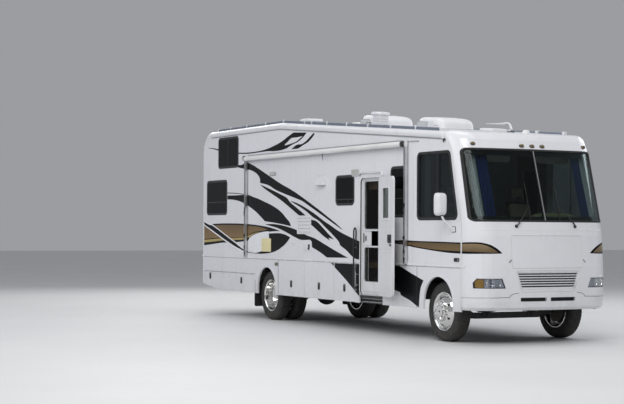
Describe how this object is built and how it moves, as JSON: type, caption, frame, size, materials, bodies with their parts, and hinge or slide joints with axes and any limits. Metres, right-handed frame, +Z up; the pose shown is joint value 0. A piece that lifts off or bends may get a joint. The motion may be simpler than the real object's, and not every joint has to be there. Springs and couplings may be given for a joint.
{
  "type": "motorhome",
  "caption": "Class A motorhome with a rear garage, wedge roof, open entry door with screen door, ramp tail door, baggage doors and a slide-out room.",
  "frame": {"origin": "on the ground under the middle of the vehicle's box", "axes": "+X to the front of the vehicle, +Y to the driver's side, +Z up"},
  "size_m": [10.652, 3.1175, 3.9879],
  "materials": {
    "shell": "gloss gel coat, off-white with dark swoosh graphics",
    "white_metal": "satin white",
    "roof_skin": "chalky white rubber membrane",
    "roof_plastic": "textured white",
    "white_plastic": "gloss white",
    "black_plastic": "satin black",
    "tinted_glass": "tinted laminated",
    "dark_glass": "dark tint",
    "lamp_lens": "clear moulded lens",
    "red_lens": "red moulded lens",
    "floor": "sealed plywood",
    "interior": "light laminate",
    "frame_steel": "black chassis paint",
    "cast_metal": "rough casting",
    "tank_plastic": "moulded black",
    "exhaust_steel": "dull aluminised",
    "tyre": "matt",
    "bright_wheel": "polished",
    "awning": "white anodised",
    "cab_plastic": "grained",
    "seat_fabric": "soft tan"
  },
  "bodies": {
    "root": {"air_conditioners": "roof_plastic", "antennas": "roof_plastic", "awning": "awning", "baggage_bays": "frame_steel", "cab_seats": "seat_fabric", "chassis_frame": "frame_steel", "dashboard": "cab_plastic", "drivetrain": "cast_metal", "entry_door_frame": "white_metal", "entry_step": "frame_steel", "exhaust": "exhaust_steel", "floor_deck": "floor", "floor_outriggers": "frame_steel", "front_axle": "frame_steel", "front_cap": "shell", "garage_bulkhead": "interior", "grab_rail": "black_plastic", "grille": "black_plastic", "headlights": "lamp_lens", "hitch_receiver": "frame_steel", "leaf_springs": "frame_steel", "mirrors": "white_plastic", "rear_axle": "cast_metal", "rear_cap": "shell", "roof": "roof_skin", "roof_vents": "roof_plastic", "screen_door": "white_metal", "side_windows": "dark_glass", "skirts": "shell", "steering_wheel": "cab_plastic", "step_well": "frame_steel", "tail_lights": "red_lens", "underfloor_tanks": "tank_plastic", "wall_left": "shell", "wall_right": "shell", "windshield": "tinted_glass"},
    "knuckle_left": {"steering_knuckle_left": "cast_metal"},
    "knuckle_right": {"steering_knuckle_right": "cast_metal"},
    "tie_rod": {"tie_rod": "frame_steel"},
    "front_wheel_left": {"front_tyre_left": "tyre", "front_rim_left": "bright_wheel"},
    "front_wheel_right": {"front_tyre_right": "tyre", "front_rim_right": "bright_wheel"},
    "rear_wheels_left": {"rear_tyres_left": "tyre", "rear_rims_left": "bright_wheel"},
    "rear_wheels_right": {"rear_tyres_right": "tyre", "rear_rims_right": "bright_wheel"},
    "entry_door": {"entry_door": "white_metal"},
    "ramp_door": {"ramp_door": "shell"},
    "front_hatch": {"front_hatch": "shell"},
    "slide_out": {"slide_out_room": "shell", "slide_out_windows": "dark_glass"},
    "baggage_door_right_rear": {"baggage_door_right_rear": "shell"},
    "baggage_door_right_middle": {"baggage_door_right_middle": "shell"},
    "baggage_door_right_front": {"baggage_door_right_front": "shell"},
    "locker_door_right": {"locker_door_right": "shell"},
    "baggage_door_left_rear": {"baggage_door_left_rear": "shell"},
    "baggage_door_left_front": {"baggage_door_left_front": "shell"},
    "locker_door_left": {"locker_door_left": "shell"}
  },
  "joints": [
    {"name": "steer_left", "type": "hinge", "parent": "root", "child": "knuckle_left", "pos_m": [4.17, 0.87, 0.472], "axis": [0, 0, 1], "range_deg": [-35, 35]},
    {"name": "steer_right", "type": "hinge", "parent": "root", "child": "knuckle_right", "pos_m": [4.17, -0.87, 0.472], "axis": [0, 0, 1], "range_deg": [-35, 35]},
    {"name": "tie_rod_pivot", "type": "hinge", "parent": "knuckle_left", "child": "tie_rod", "pos_m": [3.98, 0.87, 0.36], "axis": [0, 0, 1], "range_deg": [-35, 35]},
    {"name": "front_wheel_left_spin", "type": "hinge", "parent": "knuckle_left", "child": "front_wheel_left", "pos_m": [4.17, 1.06, 0.472], "axis": [0, 1, 0], "continuous": true},
    {"name": "front_wheel_right_spin", "type": "hinge", "parent": "knuckle_right", "child": "front_wheel_right", "pos_m": [4.17, -1.06, 0.472], "axis": [0, 1, 0], "continuous": true},
    {"name": "rear_wheels_left_spin", "type": "hinge", "parent": "root", "child": "rear_wheels_left", "pos_m": [-1.977, 0.93, 0.472], "axis": [0, 1, 0], "continuous": true},
    {"name": "rear_wheels_right_spin", "type": "hinge", "parent": "root", "child": "rear_wheels_right", "pos_m": [-1.977, -0.93, 0.472], "axis": [0, 1, 0], "continuous": true},
    {"name": "entry_door_hinge", "type": "hinge", "parent": "root", "child": "entry_door", "pos_m": [2.432, -1.3, 1.63], "axis": [0, 0, 1], "range_deg": [-168, 0]},
    {"name": "ramp_door_hinge", "type": "hinge", "parent": "root", "child": "ramp_door", "pos_m": [-5.214, 0, 1.096], "axis": [0, -1, 0], "range_deg": [0, 108]},
    {"name": "front_hatch_hinge", "type": "hinge", "parent": "root", "child": "front_hatch", "pos_m": [5.29, 0, 1.664], "axis": [0, -1, 0], "range_deg": [0, 75]},
    {"name": "baggage_door_right_rear_hinge", "type": "hinge", "parent": "root", "child": "baggage_door_right_rear", "pos_m": [-0.961, -1.2845, 1.162], "axis": [-1, 0, 0], "range_deg": [0, 90]},
    {"name": "baggage_door_right_middle_hinge", "type": "hinge", "parent": "root", "child": "baggage_door_right_middle", "pos_m": [0.16, -1.2845, 1.162], "axis": [-1, 0, 0], "range_deg": [0, 90]},
    {"name": "baggage_door_right_front_hinge", "type": "hinge", "parent": "root", "child": "baggage_door_right_front", "pos_m": [1.121, -1.2845, 1.162], "axis": [-1, 0, 0], "range_deg": [0, 90]},
    {"name": "locker_door_right_hinge", "type": "hinge", "parent": "root", "child": "locker_door_right", "pos_m": [-3.82, -1.2845, 0.862], "axis": [-1, 0, 0], "range_deg": [0, 90]},
    {"name": "baggage_door_left_rear_hinge", "type": "hinge", "parent": "root", "child": "baggage_door_left_rear", "pos_m": [-0.811, 1.2845, 1.162], "axis": [1, 0, 0], "range_deg": [0, 90]},
    {"name": "baggage_door_left_front_hinge", "type": "hinge", "parent": "root", "child": "baggage_door_left_front", "pos_m": [0.649, 1.2845, 1.162], "axis": [1, 0, 0], "range_deg": [0, 90]},
    {"name": "locker_door_left_hinge", "type": "hinge", "parent": "root", "child": "locker_door_left", "pos_m": [-3.82, 1.2845, 0.862], "axis": [1, 0, 0], "range_deg": [0, 90]},
    {"name": "slide_out_travel", "type": "slide", "parent": "root", "child": "slide_out", "axis": [0, 1, 0], "range_m": [0, 0.7]}
  ],
  "couplings": [
    {"joint": "steer_right", "follows": "steer_left", "ratio": 1},
    {"joint": "tie_rod_pivot", "follows": "steer_left", "ratio": -1}
  ]
}
